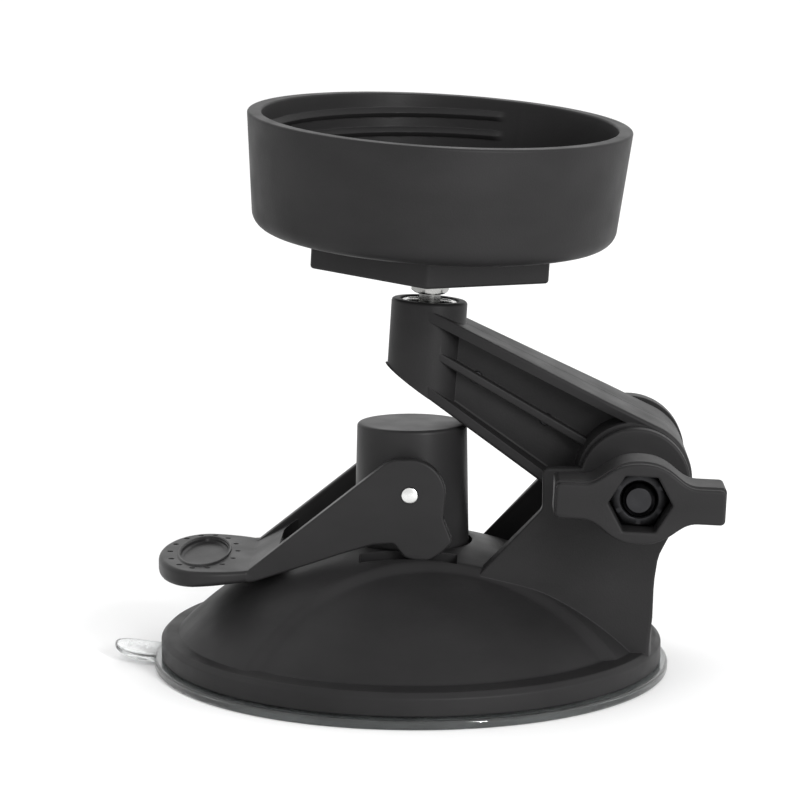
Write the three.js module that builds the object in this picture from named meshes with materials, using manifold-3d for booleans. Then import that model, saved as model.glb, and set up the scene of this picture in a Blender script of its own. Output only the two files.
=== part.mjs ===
// Lever-lock suction mount with a tilting arm, a ball stud and an open threaded cup.
// Millimetres, +Z up. The origin is the centre of the suction pad's sealing face.
// +X runs from the thumb lever to the clamp bracket; the wing knob faces -Y.
import * as THREE from 'three';
import { mergeVertices } from 'three/addons/utils/BufferGeometryUtils.js';
import Module from 'manifold-3d';

const wasm = await Module();
wasm.setup();

// ---------------------------------------------------------------- driving dimensions
const gap = 0.3;                      // running gap between neighbouring pieces
const pad = { radius: 50, rim: 1.75, sealInner: 38, dish: 3.2, skin: 2.4, dishRadius: 15 };
const tab = { width: 12, root: 46, thickness: 1.2, lift: 2.2 };
const rim = { radius: 48.6, bottom: 2.05, shoulder: 5.4, inner: 45.4 };
const dome = { radius: 62.6, centre: -36.8, edge: 45.2, wall: 2.8 };
const panel = { depth: 1.2, arcRadius: 56, arcX: 12, arcY: -71.5, top: 45.4 };
const headBossRadius = 11.3;             // raised disc on the far ear round the bolt's head
const landing = { z: 21.8, front: -9.5, back: 9, inner: 11.9, outer: 16.4 };
const guide = { bore: 11.6, outer: 13.6, bottom: 13 };
const column = { topRadius: 10.6, footRadius: 11.2, top: 47.4, bottom: 14.5, stemBore: 5.3 };
const core = { discRadius: 18.5, discTop: 8.4, stemRadius: 5, stemTop: 41 };
const spring = { radius: 16.2, wire: 0.65, turns: 4, low: 9.4, high: 19.4 };
const pin = { z: 36, radius: 1.6, halfLength: 15.9 };
const fork = { inner: 12.4, outer: 15.4, headRadius: 6.8 };
const cam = { radius: 13.2, from: 14, to: 40, drop: 0.04 };   // the radius falls by drop a degree
const paddle = { x: -40, halfLength: 9.1, halfWidth: 18, top: 21, thickness: 3.2, root: -29.8 };
const paddleDish = { x: -40.8, halfLength: 4.8, halfWidth: 13.6, depth: 0.7 };
const pivot = { x: 42.3, z: 39.0 };
const ear = { radius: 10.4, inner: 14, outer: 17, frontX: 25, shoulder: 41.8, boltHole: 3.3 };
const tower = { radius: 47.4, wall: 2.4, webTop: 21, foot: 48.4 };
const boss = { radius: 11, halfWidth: 12.7 };
const ball = { x: 2.8, z: 64, radius: 4.7, cavity: 5.6, mouth: 4.5, lipHeight: 6.0 };
const seat = { inner: 4.85, outer: 5.45 };     // nylon seats between the ball and its socket
const socket = { radius: 7.3, top: 7.4, bottom: -12, lean: 3.4 };
const arm = { topZ: 70.4, lowZ: 53.4, flange: 2, webHalf: 4, rib: 1.5, ribHalf: 6.8 };   // Z at the ball's X
const bolt = { radius: 3, headY: 17.3, headThick: 3.6, headFlats: 10, endY: -33 };
const knob = { front: -37, back: -26.4, hub: 7.7, wing: 15.6, wingHalf: 3.5, turn: 2.2 };
const pocket = { flats: 10.1, floor: -27.5 };
const nut = { flats: 9.5, thick: 4.2 };
const washer = { outer: 6, thick: 1 };
const frictionDisc = { outer: 9.4, thick: 0.7 };
const cupLean = { front: 4.2, side: 3.1 };     // degrees, the cup's lean at rest
const stud = { neck: 2.1, end: 28.2 };
const collar = { flats: 6.4, low: 8.9, high: 14.1 };
const plate = { radius: 25.75, low: 14.4, high: 19.9, turn: 29 };
const cup = { low: 20.2, high: 42.2, topRadius: 36.5, footRadius: 34.8, wall: 2.7, floor: 2.5 };
const cupScrew = { count: 3, circle: 17, head: 3, headThick: 1.8, shank: 1.3, low: 15.4 };
const armScrew = { shank: 1.3, head: 2.8, boss: 3.9 };

const deg = Math.PI / 180;

// ---------------------------------------------------------------- solids and shapes
function solidOf(geometry) {
  const bare = geometry.index ? geometry.clone() : geometry;
  bare.deleteAttribute('normal');
  bare.deleteAttribute('uv');
  const merged = mergeVertices(bare, 1e-4);
  return new wasm.Manifold(new wasm.Mesh({
    numProp: 3,
    vertProperties: new Float32Array(merged.attributes.position.array),
    triVerts: new Uint32Array(merged.index.array),
  }));
}

function geometryOf(solid) {
  const mesh = solid.getMesh();
  const geometry = new THREE.BufferGeometry();
  geometry.setAttribute('position', new THREE.BufferAttribute(mesh.vertProperties, 3));
  geometry.setIndex(new THREE.BufferAttribute(mesh.triVerts, 1));
  geometry.computeVertexNormals();
  return geometry;
}

const minus = (first, ...rest) => rest.reduce((sum, other) => sum.subtract(other), first);
const plus = (first, ...rest) => rest.reduce((sum, other) => sum.add(other), first);

// A solid of revolution about Z from [radius, height] points: they run from axis to axis,
// or round a ring that closes on itself.
function turned(points, segments = 64) {
  const onAxis = points[0][0] === 0;
  const loop = onAxis ? points : [...points, points[0]];
  let area = 0;
  loop.forEach(([r, z], i) => {
    const [nextR, nextZ] = loop[(i + 1) % loop.length];
    area += r * nextZ - nextR * z;
  });
  const ordered = area > 0 ? loop : [...loop].reverse();
  const profile = ordered.map(([r, z]) => new THREE.Vector2(r, z));
  return solidOf(new THREE.LatheGeometry(profile, segments).rotateX(Math.PI / 2));
}

// A flat outline in X and Z, given thickness from one Y to another.
function sidePlate(shape, lowY, highY, curveSegments = 12) {
  const settings = { depth: highY - lowY, bevelEnabled: false, curveSegments };
  const geometry = new THREE.ExtrudeGeometry(shape, settings);
  return solidOf(geometry.rotateX(Math.PI / 2).translate(0, highY, 0));
}

// A flat outline in X and Y, given thickness from one Z to another.
function floorPlate(shape, lowZ, highZ, curveSegments = 12) {
  const settings = { depth: highZ - lowZ, bevelEnabled: false, curveSegments };
  return solidOf(new THREE.ExtrudeGeometry(shape, settings).translate(0, 0, lowZ));
}

function block(low, high) {
  const size = high.map((value, i) => value - low[i]);
  const middle = high.map((value, i) => (value + low[i]) / 2);
  return solidOf(new THREE.BoxGeometry(...size).translate(...middle));
}

// A round bar along Y, centred on a point in X and Z.
function barY(radius, lowY, highY, x, z, segments = 32) {
  const bar = new THREE.CylinderGeometry(radius, radius, highY - lowY, segments);
  return solidOf(bar.translate(x, (lowY + highY) / 2, z));
}

// A round bar along Z.
function barZ(radius, lowZ, highZ, x = 0, y = 0, segments = 32) {
  const bar = new THREE.CylinderGeometry(radius, radius, highZ - lowZ, segments);
  return solidOf(bar.rotateX(Math.PI / 2).translate(x, y, (lowZ + highZ) / 2));
}

function polygon(points) {
  return new THREE.Shape(points.map(([x, y]) => new THREE.Vector2(x, y)));
}

function hexagon(flats, turnDegrees = 0) {
  const corner = flats / 2 / Math.cos(30 * deg);
  const angles = [0, 60, 120, 180, 240, 300].map((angle) => (angle + turnDegrees) * deg);
  return polygon(angles.map((angle) => [corner * Math.cos(angle), corner * Math.sin(angle)]));
}

// Points along an arc, in order, end points included.
function arcPoints(centre, radius, fromDegrees, toDegrees, steps) {
  const points = [];
  for (let i = 0; i <= steps; i += 1) {
    const angle = (fromDegrees + ((toDegrees - fromDegrees) * i) / steps) * deg;
    points.push([centre[0] + radius * Math.cos(angle), centre[1] + radius * Math.sin(angle)]);
  }
  return points;
}

// The angle, in degrees, at which a line from a point touches a circle; side is 1 or -1.
function tangentAngle(point, centre, radius, side) {
  const dx = point[0] - centre[0];
  const dz = point[1] - centre[1];
  const toPoint = Math.atan2(dz, dx);
  const half = Math.acos(radius / Math.hypot(dx, dz));
  return (toPoint + side * half) / deg;
}

// ---------------------------------------------------------------- materials and nodes
const materials = {
  plastic: new THREE.MeshStandardMaterial({ color: 0x2b2a2b, roughness: 0.55, metalness: 0 }),
  clear: new THREE.MeshStandardMaterial({
    color: 0xdfe3e4, roughness: 0.15, metalness: 0, transparent: true, opacity: 0.45,
  }),
  steel: new THREE.MeshStandardMaterial({ color: 0xd8d8d6, roughness: 0.25, metalness: 1 }),
  darkSteel: new THREE.MeshStandardMaterial({ color: 0x3a3a3c, roughness: 0.4, metalness: 1 }),
  nylon: new THREE.MeshStandardMaterial({ color: 0x1c1c1d, roughness: 0.7, metalness: 0 }),
};

const mount = new THREE.Group();

function node(name, solid, material, parent = mount) {
  const mesh = new THREE.Mesh(geometryOf(solid), material);
  mesh.name = name;
  parent.add(mesh);
  return mesh;
}

// ---------------------------------------------------------------- base
const domeHeight = (r, offset = 0) => dome.centre + Math.sqrt((dome.radius - offset) ** 2 - r * r);

function domeArc(fromRadius, toRadius, offset, steps) {
  const points = [];
  for (let i = 0; i <= steps; i += 1) {
    const r = fromRadius + ((toRadius - fromRadius) * i) / steps;
    points.push([r, domeHeight(r, offset)]);
  }
  return points;
}

function suctionPad(reach) {
  const body = turned([
    [0, pad.dish], [pad.dishRadius, pad.dish], [pad.sealInner, 0], [pad.radius, 0],
    [pad.radius, pad.rim - 0.45], [pad.radius - 0.6, pad.rim], [pad.sealInner + 4, pad.rim],
    [pad.sealInner - 2, pad.rim + 0.7], [pad.dishRadius + 2, pad.dish + pad.skin], [0, pad.dish + pad.skin],
  ], 64);
  const half = tab.width / 2;
  const outline = new THREE.Shape();
  outline.moveTo(-tab.root, -half);
  outline.lineTo(-tab.root, half);
  outline.lineTo(-reach + half, half);
  outline.absarc(-reach + half, 0, half, Math.PI / 2, 1.5 * Math.PI, false);
  const tongue = floorPlate(outline, 0, 6, 8);
  const start = -pad.radius + 1;
  const side = new THREE.Shape();
  side.moveTo(-tab.root, 0.2);
  side.lineTo(start, 0.2);
  side.quadraticCurveTo((start - reach) / 2, 0.3, -reach - 1, tab.lift);
  side.lineTo(-reach - 1, tab.lift + tab.thickness);
  side.quadraticCurveTo((start - reach) / 2, 0.3 + tab.thickness, start, 0.2 + tab.thickness);
  side.lineTo(-tab.root, 0.2 + tab.thickness);
  return plus(body, tongue.intersect(sidePlate(side, -half - 1, half + 1, 6)));
}

function padCore() {
  const low = pad.dish + pad.skin + gap;
  const disc = turned([
    [0, low], [pad.dishRadius, low], [core.discRadius, low + 0.9], [core.discRadius, core.discTop],
    [core.stemRadius + 1.5, core.discTop], [core.stemRadius, core.discTop + 1.5],
    [core.stemRadius, core.stemTop], [0, core.stemTop],
  ], 40);
  return minus(disc, barY(pin.radius + gap, -12, 12, 0, pin.z, 20));
}

function housingShell() {
  const shell = turned([
    [guide.bore, guide.bottom], [guide.outer, guide.bottom],
    ...domeArc(guide.outer, rim.inner - 2, dome.wall, 4),
    [rim.inner, 4.2], [rim.inner, rim.bottom], [rim.radius, rim.bottom],
    [rim.radius, rim.shoulder], [rim.radius - 0.9, rim.shoulder + 0.9], [dome.edge + 0.4, domeHeight(dome.edge)],
    ...domeArc(dome.edge, guide.bore + 1, 0, 7), [guide.bore, domeHeight(guide.bore + 1) - 0.4],
  ], 60);
  const flat = block([landing.front, landing.inner, landing.z], [landing.back, landing.outer, 40]);
  return minus(shell, flat, flat.mirror([0, 1, 0]));
}

// The two side panels are sunk below the dome; each panel's upper edge is a wide arc.
function sunkPanels() {
  const arc = arcPoints([panel.arcX, panel.arcY], panel.arcRadius, 138, 58, 16);
  const outline = polygon([...arc, [60, -60], [-60, -60]]);
  const ring = turned([[0, 6.9], [panel.top, 6.9], [panel.top, 40], [0, 40]], 60);
  const sunkDome = turned([...domeArc(0, 56, panel.depth, 9), [56, -60], [0, -60]], 60);
  const near = floorPlate(outline, 0, 40).intersect(ring).subtract(sunkDome);
  return [near, near.mirror([0, 1, 0])];
}

function earOutline() {
  const shape = new THREE.Shape();
  shape.moveTo(12.6, 19.2);
  shape.lineTo(ear.frontX, 34);
  shape.lineTo(ear.frontX, ear.shoulder);
  const left = Math.asin((ear.shoulder - pivot.z) / ear.radius);
  shape.lineTo(pivot.x - ear.radius * Math.cos(left), ear.shoulder);
  shape.absarc(pivot.x, pivot.z, ear.radius, Math.PI - left, -0.1, true);
  shape.quadraticCurveTo(51.6, 33.5, 48.7, 28.6);
  shape.quadraticCurveTo(46.4, 24.5, 46, 18);
  shape.lineTo(46, 3);
  shape.lineTo(12.6, 3);
  return shape;
}

// Two ears and the curved web that joins them at the back, kept inside the base's round outline.
function clampTower() {
  const near = sidePlate(earOutline(), -ear.outer, -ear.inner, 14);
  const far = sidePlate(earOutline(), ear.inner, ear.outer, 14);
  const web = turned([
    [tower.radius - tower.wall, 3], [tower.radius, 3],
    [tower.radius, tower.webTop], [tower.radius - tower.wall, tower.webTop],
  ], 60).intersect(block([30, -ear.outer, 0], [60, ear.outer, 40]));
  const round = turned([[0, 0], [tower.foot, 0], [tower.foot, 8], [49, 14], [49.3, 20], [51, 25], [57, 33],
    [64, 38], [64, 60], [0, 60]], 60);
  const headBoss = barY(headBossRadius, ear.outer - 0.5, 21, pivot.x, pivot.z, 36);
  const cavity = turned([[0, -1], [rim.inner, -1], [rim.inner, 4.2],
    ...domeArc(rim.inner - 2, 0, dome.wall - 0.6, 5)], 60);
  return minus(plus(near.add(far).add(web).intersect(round), headBoss), cavity);
}

function baseHousing() {
  const headPocket = sidePlate(hexagon(bolt.headFlats + 2 * gap, 30), 0, 30);
  return minus(
    plus(minus(housingShell(), ...sunkPanels()), clampTower()),
    barY(ear.boltHole, -30, 30, pivot.x, pivot.z, 28),
    headPocket.translate([pivot.x, bolt.headY - gap, pivot.z]),
  );
}

function returnSpring() {
  class Helix extends THREE.Curve {
    getPoint(t, target = new THREE.Vector3()) {
      const angle = 2 * Math.PI * spring.turns * t;
      const z = spring.low + (spring.high - spring.low) * t;
      return target.set(spring.radius * Math.cos(angle), spring.radius * Math.sin(angle), z);
    }
  }
  const wire = new THREE.Shape();
  wire.absarc(0, 0, spring.wire, 0, 2 * Math.PI);
  const path = { steps: 16 * spring.turns, extrudePath: new Helix(), curveSegments: 3, bevelEnabled: false };
  return solidOf(new THREE.ExtrudeGeometry(wire, path));
}

// ---------------------------------------------------------------- plunger and lever
function plungerColumn() {
  const body = turned([
    [0, column.bottom], [column.footRadius, column.bottom], [column.footRadius, 21],
    [column.topRadius, column.top - 0.5], [column.topRadius - 0.5, column.top], [0, column.top],
  ], 36);
  return minus(
    body,
    barZ(column.stemBore, column.bottom - 1, core.stemTop + gap, 0, 0, 32),
    barY(pin.radius + gap, -20, 20, 0, pin.z, 24),
  );
}

// The cam's radius falls steadily from its lowest point, so the cheek clears the flat as it turns.
function camPoints() {
  const points = [];
  for (let turn = cam.from; turn <= cam.to; turn += 6.5) {
    const radius = cam.radius - cam.drop * (turn - cam.from);
    points.push([radius * Math.sin(turn * deg), pin.z - radius * Math.cos(turn * deg)]);
  }
  return points;
}

function cheekOutline() {
  return polygon([
    [paddle.root, paddle.top], [paddle.root, 18.8], [-19.2, 22.3], [-13.2, 24.4], [-7, 26.2],
    [-3.6, 26.4], [-2.1, 25.8], [-1.1, 24.5], [0.6, 23.7], ...camPoints(), [8, 27.4],
    ...arcPoints([0, pin.z], fork.headRadius, 15, 100, 9), [-3.8, 42.2], [-5.4, 41.1],
  ]);
}

function paddleOutline() {
  const shape = new THREE.Shape();
  shape.moveTo(paddle.root + 3, -fork.outer);
  shape.lineTo(paddle.root + 3, fork.outer);
  shape.lineTo(paddle.root, fork.outer);
  shape.quadraticCurveTo(paddle.x + 5, paddle.halfWidth, paddle.x, paddle.halfWidth);
  shape.absellipse(paddle.x, 0, paddle.halfLength, paddle.halfWidth, Math.PI / 2, 1.5 * Math.PI, false);
  shape.quadraticCurveTo(paddle.x + 5, -paddle.halfWidth, paddle.root, -fork.outer);
  return shape;
}

function lever() {
  const near = sidePlate(cheekOutline(), -fork.outer, -fork.inner);
  const far = sidePlate(cheekOutline(), fork.inner, fork.outer);
  const low = paddle.top - paddle.thickness;
  const side = polygon([
    [-60, low], [-37, low], [paddle.root, low + 1], [paddle.root + 3, low + 2.4],
    [paddle.root + 3, paddle.top], [-60, paddle.top],
  ]);
  const grip = floorPlate(paddleOutline(), low - 1, paddle.top + 1, 14).intersect(sidePlate(side, -20, 20));
  const bridge = sidePlate(polygon([
    [paddle.root - 1, paddle.top], [paddle.root, low + 1], [-26, 20.8], [-23.5, 22.6], [-23.5, 24.9], [-24.2, 24.9],
  ]), -fork.inner - 1, fork.inner + 1);
  const dish = solidOf(new THREE.CylinderGeometry(1, 0.94, 2, 36)
    .rotateX(Math.PI / 2)
    .scale(paddleDish.halfLength, paddleDish.halfWidth, 1)
    .translate(paddleDish.x, 0, paddle.top - paddleDish.depth + 1));
  const whole = plus(grip, bridge, near, far);
  return minus(whole, dish, barY(pin.radius + 0.02, -20, 20, 0, pin.z, 24));
}

// ---------------------------------------------------------------- arm
const armCentre = [pivot.x, pivot.z];

function armOutline(inset) {
  const radius = boss.radius - inset;
  const topStart = [ball.x, arm.topZ - inset * 1.1];
  const lowStart = [ball.x, arm.lowZ + inset * 1.2];
  const top = tangentAngle(topStart, armCentre, radius, -1);
  const low = tangentAngle(lowStart, armCentre, radius, 1) - 360;
  return polygon([lowStart, topStart, ...arcPoints(armCentre, radius, top, low, 16)].reverse());
}

const armHalfWidth = (x) => {
  const share = Math.min((x - ball.x) / (pivot.x - 4 - ball.x), 1);
  return socket.radius + (boss.halfWidth - socket.radius) * share;
};

// The arm's outline seen from above.
function armPlan() {
  const stations = [-8, ball.x, pivot.x - 4, 60];
  const near = stations.map((x) => [x, -armHalfWidth(Math.max(x, ball.x))]);
  const far = near.map(([x, y]) => [x, -y]).reverse();
  return floorPlate(polygon([...near, ...far]), 20, 90);
}

// The frame that leans with the socket's axis, centred on the ball.
function atSocket(solid) {
  return solid.rotate([0, socket.lean, 0]).translate([ball.x, 0, ball.z]);
}

function ribOutline() {
  const run = [pivot.x - ball.x, pivot.z - (ball.z - 1.4)];
  const length = Math.hypot(...run);
  const half = [(-run[1] / length) * (arm.rib / 2), (run[0] / length) * (arm.rib / 2)];
  const low = [ball.x, ball.z - 1.4];
  return polygon([
    [low[0] - half[0], low[1] - half[1]], [pivot.x - half[0], pivot.z - half[1]],
    [pivot.x + half[0], pivot.z + half[1]], [low[0] + half[0], low[1] + half[1]],
  ]);
}

const screwSpots = [0.24, 0.58].map((share) => [
  ball.x + (pivot.x - ball.x) * share,
  ball.z - 1.4 + (pivot.z - ball.z + 1.4) * share,
]);

function wholeArm() {
  const beam = sidePlate(armOutline(0), -20, 20).intersect(armPlan());
  const web = block([-20, -arm.webHalf, 0], [80, arm.webHalf, 100]);
  const recess = minus(sidePlate(armOutline(arm.flange), -20, 20), web);
  const ribs = sidePlate(ribOutline(), -arm.ribHalf, arm.ribHalf);
  const hub = barY(boss.radius, -boss.halfWidth, boss.halfWidth, ...armCentre, 36);
  const below = polygon([[-12, arm.lowZ + 10.5], [-6, arm.lowZ + 6.4], [-2, arm.lowZ + 3.4],
    [12, arm.lowZ - 6.55], [30, 60], [30, 80], [-12, 80]]);
  const tube = atSocket(barZ(socket.radius, socket.bottom, socket.top, 0, 0, 32));
  const holder = tube.intersect(sidePlate(below, -20, 20));
  const screwBosses = screwSpots.map(([x, z]) => {
    const half = armHalfWidth(x) - 1;
    return barY(armScrew.boss, 0, half, x, z, 24);
  });
  return plus(minus(beam, recess), ribs, hub, holder, ...screwBosses);
}

// The ball's cavity, its narrow mouth and the groove of the retaining ring.
function socketCavity() {
  const lip = Math.sqrt(ball.cavity ** 2 - ball.mouth ** 2);
  const open = Math.atan2(lip, ball.mouth) / deg;
  return atSocket(turned([
    ...arcPoints([0, 0], ball.cavity, -90, open, 8).map(([r, z], i) => [i === 0 ? 0 : r, z]),
    [ball.mouth, ball.lipHeight], [5.6, ball.lipHeight], [5.6, socket.top - 0.2],
    [5.3, socket.top + 1], [0, socket.top + 1],
  ], 24));
}

function armHalves() {
  const bored = minus(
    wholeArm(), socketCavity(), barY(ear.boltHole, -20, 20, ...armCentre, 28),
    ...screwSpots.map(([x, z]) => barY(armScrew.shank + gap, -5, 30, x, z, 16)),
    ...screwSpots.map(([x, z]) => barY(armScrew.head + gap, armHalfWidth(x) - 3.2, 30, x, z, 20)),
  );
  return {
    near: bored.intersect(block([-20, -30, 0], [80, -gap / 2, 100])),
    far: bored.intersect(block([-20, gap / 2, 0], [80, 30, 100])),
  };
}

function armScrewAt([x, z]) {
  const seat = armHalfWidth(x) - 3.2 + gap;
  const head = barY(armScrew.head, seat, seat + 1.8, x, z, 20);
  const cross = plus(
    block([x - 1.6, seat + 0.9, z - 0.35], [x + 1.6, 30, z + 0.35]),
    block([x - 0.35, seat + 0.9, z - 1.6], [x + 0.35, 30, z + 1.6]),
  );
  return minus(plus(head, barY(armScrew.shank, -4.6, seat + 0.5, x, z, 16)), cross);
}

function socketRing() {
  const low = ball.lipHeight + gap / 2;
  return atSocket(turned([[4.4, low], [5.3, low], [5.3, low + 1], [4.4, low + 1]], 24));
}

// A band of the nylon seat between two latitudes, in degrees; -90 makes it a closed bowl.
function ballSeat(fromLatitude, toLatitude) {
  const outer = arcPoints([0, 0], seat.outer, fromLatitude, toLatitude, 5);
  const inner = arcPoints([0, 0], seat.inner, toLatitude, fromLatitude, 5);
  const profile = [...outer, ...inner].map(([r, z]) => [Math.abs(r) < 1e-6 ? 0 : r, z]);
  return turned(profile, 24).translate([ball.x, 0, ball.z]);
}

// ---------------------------------------------------------------- clamp
function clampBolt() {
  const head = sidePlate(hexagon(bolt.headFlats, 30), 0, bolt.headThick);
  const end = solidOf(new THREE.CylinderGeometry(bolt.radius, bolt.radius - 0.9, 1, 28)
    .translate(pivot.x, bolt.endY + 0.5, pivot.z));
  return plus(
    head.translate([pivot.x, bolt.headY, pivot.z]),
    barY(bolt.radius, bolt.endY + 1, bolt.headY + 1, pivot.x, pivot.z, 28),
    end,
  );
}

function knobOutline() {
  const { wing, wingHalf, hub } = knob;
  const shape = new THREE.Shape();
  shape.moveTo(-wing, -wingHalf + 0.8);
  shape.lineTo(-wing, wingHalf - 0.8);
  shape.quadraticCurveTo(-wing, wingHalf, -wing + 0.8, wingHalf);
  shape.lineTo(-10.6, wingHalf);
  shape.bezierCurveTo(-6.6, wingHalf, -6.2, hub, 0, hub);
  shape.bezierCurveTo(6.2, hub, 6.6, wingHalf, 10.6, wingHalf);
  shape.lineTo(wing - 0.8, wingHalf);
  shape.quadraticCurveTo(wing, wingHalf, wing, wingHalf - 0.8);
  shape.lineTo(wing, -wingHalf + 0.8);
  shape.quadraticCurveTo(wing, -wingHalf, wing - 0.8, -wingHalf);
  shape.lineTo(10.6, -wingHalf);
  shape.bezierCurveTo(6.6, -wingHalf, 6.2, -hub, 0, -hub);
  shape.bezierCurveTo(-6.2, -hub, -6.6, -wingHalf, -10.6, -wingHalf);
  shape.lineTo(-wing + 0.8, -wingHalf);
  shape.quadraticCurveTo(-wing, -wingHalf, -wing, -wingHalf + 0.8);
  return shape;
}

// Pieces on the clamp bolt's axis, turned by the knob's rest angle.
const onPivot = (solid) => solid.rotate([0, knob.turn, 0]).translate([pivot.x, 0, pivot.z]);

function wingKnob() {
  const back = -ear.outer - 2 * gap - washer.thick;
  return onPivot(minus(
    plus(sidePlate(knobOutline(), knob.front, knob.back, 6), barY(6, knob.back - 1, back, 0, 0, 32)),
    sidePlate(hexagon(pocket.flats), knob.front - 1, pocket.floor),
    barY(bolt.radius + gap, -40, -10, 0, 0, 24),
  ));
}

function knobNut() {
  const high = pocket.floor - gap;
  return onPivot(minus(
    sidePlate(hexagon(nut.flats), high - nut.thick, high),
    barY(bolt.radius + gap, -40, -10, 0, 0, 24),
  ));
}

function discOnPivot(outer, lowY, thick) {
  return minus(
    barY(outer, lowY, lowY + thick, pivot.x, pivot.z, 32),
    barY(bolt.radius + gap, lowY - 1, lowY + thick + 1, pivot.x, pivot.z, 24),
  );
}

// ---------------------------------------------------------------- head on the ball stud
function ballStud() {
  const open = Math.acos(stud.neck / ball.radius) / deg;
  return turned([
    ...arcPoints([0, 0], ball.radius, -90, open, 9).map(([r, z], i) => [i === 0 ? 0 : r, z]),
    [stud.neck, stud.end - 0.6], [stud.neck - 0.6, stud.end], [0, stud.end],
  ], 24);
}

function studCollar() {
  return minus(floorPlate(hexagon(collar.flats, 10), collar.low, collar.high), studBore());
}

const studBore = () => barZ(stud.neck + gap, 0, 60, 0, 0, 20);

function screwCentres() {
  const angles = [...Array(cupScrew.count).keys()].map((i) => (90 + (360 * i) / cupScrew.count) * deg);
  return angles.map((angle) => [cupScrew.circle * Math.cos(angle), cupScrew.circle * Math.sin(angle)]);
}

const screwBores = () => screwCentres().map(([x, y]) => (
  barZ(cupScrew.shank + gap, cupScrew.low - gap, cup.low + cup.floor + 2, x, y, 16)
));

function mountPlate() {
  const flats = 2 * plate.radius * Math.cos(30 * deg);
  return minus(floorPlate(hexagon(flats, plate.turn), plate.low, plate.high), studBore(), ...screwBores());
}

function threadLugs() {
  const ring = (z) => turned([[32.9, z], [34.6, z - 1.3], [34.6, z + 1.3]], 48);
  const sector = (from) => floorPlate(polygon([[0, 0], ...arcPoints([0, 0], 50, from, from + 110, 6)]), 20, 45);
  const lugs = ring(cup.high - 4.2).add(ring(cup.high - 7.8));
  return [lugs.intersect(sector(58)), lugs.intersect(sector(238))];
}

function holderCup() {
  const innerTop = cup.topRadius - cup.wall;
  const floorTop = cup.low + cup.floor;
  const corner = 3.5;
  const shell = turned([
    [0, cup.low],
    ...arcPoints([cup.footRadius - corner, cup.low + corner], corner, -90, -4, 4),
    [cup.topRadius, cup.high - 0.3], [cup.topRadius - 0.3, cup.high],
    [innerTop + 0.3, cup.high], [innerTop, cup.high - 0.3],
    [cup.footRadius - cup.wall, floorTop + 2.5], [cup.footRadius - cup.wall - 2.5, floorTop], [0, floorTop],
  ], 48);
  return minus(plus(shell, ...threadLugs()), studBore(), ...screwBores());
}

function cupScrewAt([x, y]) {
  const seat = cup.low + cup.floor + gap;
  const top = seat + cupScrew.headThick;
  const head = turned([[0, seat], [cupScrew.head, seat], [cupScrew.head, top - 0.7],
    [cupScrew.head - 0.8, top], [0, top]], 24);
  const cross = plus(
    block([-1.7, -0.4, top - 0.9], [1.7, 0.4, top + 1]),
    block([-0.4, -1.7, top - 0.9], [0.4, 1.7, top + 1]),
  );
  const shank = barZ(cupScrew.shank, cupScrew.low, seat + 0.5, 0, 0, 16);
  return minus(plus(head, shank), cross).translate([x, y, 0]);
}

function studWasher() {
  const low = cup.low + cup.floor + gap;
  return minus(barZ(5.4, low, low + 1, 0, 0, 28), studBore());
}

function studNut() {
  const low = cup.low + cup.floor + 2 * gap + 1;
  return minus(floorPlate(hexagon(7, 15), low, low + 3.2), studBore());
}

// ---------------------------------------------------------------- assembly
const wingKnobMesh = node('wing_knob', wingKnob(), materials.plastic);
const reach = new THREE.Box3().setFromObject(wingKnobMesh).max.x;

node('suction_pad', suctionPad(reach), materials.clear);
node('pad_core', padCore(), materials.nylon);
node('base_housing', baseHousing(), materials.plastic);
node('return_spring', returnSpring(), materials.steel);
node('plunger_column', plungerColumn(), materials.plastic);
node('lever', lever(), materials.plastic);
node('lever_pin', barY(pin.radius, -pin.halfLength, pin.halfLength, 0, pin.z, 24), materials.steel);

const halves = armHalves();
node('arm_near_half', halves.near, materials.plastic);
node('arm_far_half', halves.far, materials.plastic);
screwSpots.forEach((spot, i) => node(`arm_screw_${i + 1}`, armScrewAt(spot), materials.darkSteel));
node('socket_ring', socketRing(), materials.steel);
node('ball_seat_lower', ballSeat(-90, -25), materials.nylon);
node('ball_seat_upper', ballSeat(2, 24), materials.nylon);

node('clamp_bolt', clampBolt(), materials.darkSteel);
node('knob_nut', knobNut(), materials.darkSteel);
node('knob_washer', discOnPivot(washer.outer, -ear.outer - gap - washer.thick, washer.thick), materials.steel);
node('friction_disc_near', discOnPivot(frictionDisc.outer, -boss.halfWidth - gap - frictionDisc.thick,
  frictionDisc.thick), materials.nylon);
node('friction_disc_far', discOnPivot(frictionDisc.outer, boss.halfWidth + gap, frictionDisc.thick),
  materials.nylon);

const head = new THREE.Group();
head.position.set(ball.x, 0, ball.z);
head.rotation.set(cupLean.front * deg, cupLean.side * deg, 0);
mount.add(head);
node('ball_stud', ballStud(), materials.steel, head);
node('stud_collar', studCollar(), materials.darkSteel, head);
node('mount_plate', mountPlate(), materials.plastic, head);
node('holder_cup', holderCup(), materials.plastic, head);
screwCentres().forEach((centre, i) => node(`cup_screw_${i + 1}`, cupScrewAt(centre), materials.steel, head));
node('stud_washer', studWasher(), materials.steel, head);
node('stud_nut', studNut(), materials.steel, head);

export default mount;
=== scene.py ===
import math

import bmesh
import bpy
import numpy as np
from mathutils import Matrix, Vector
from mathutils.geometry import tessellate_polygon


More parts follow.
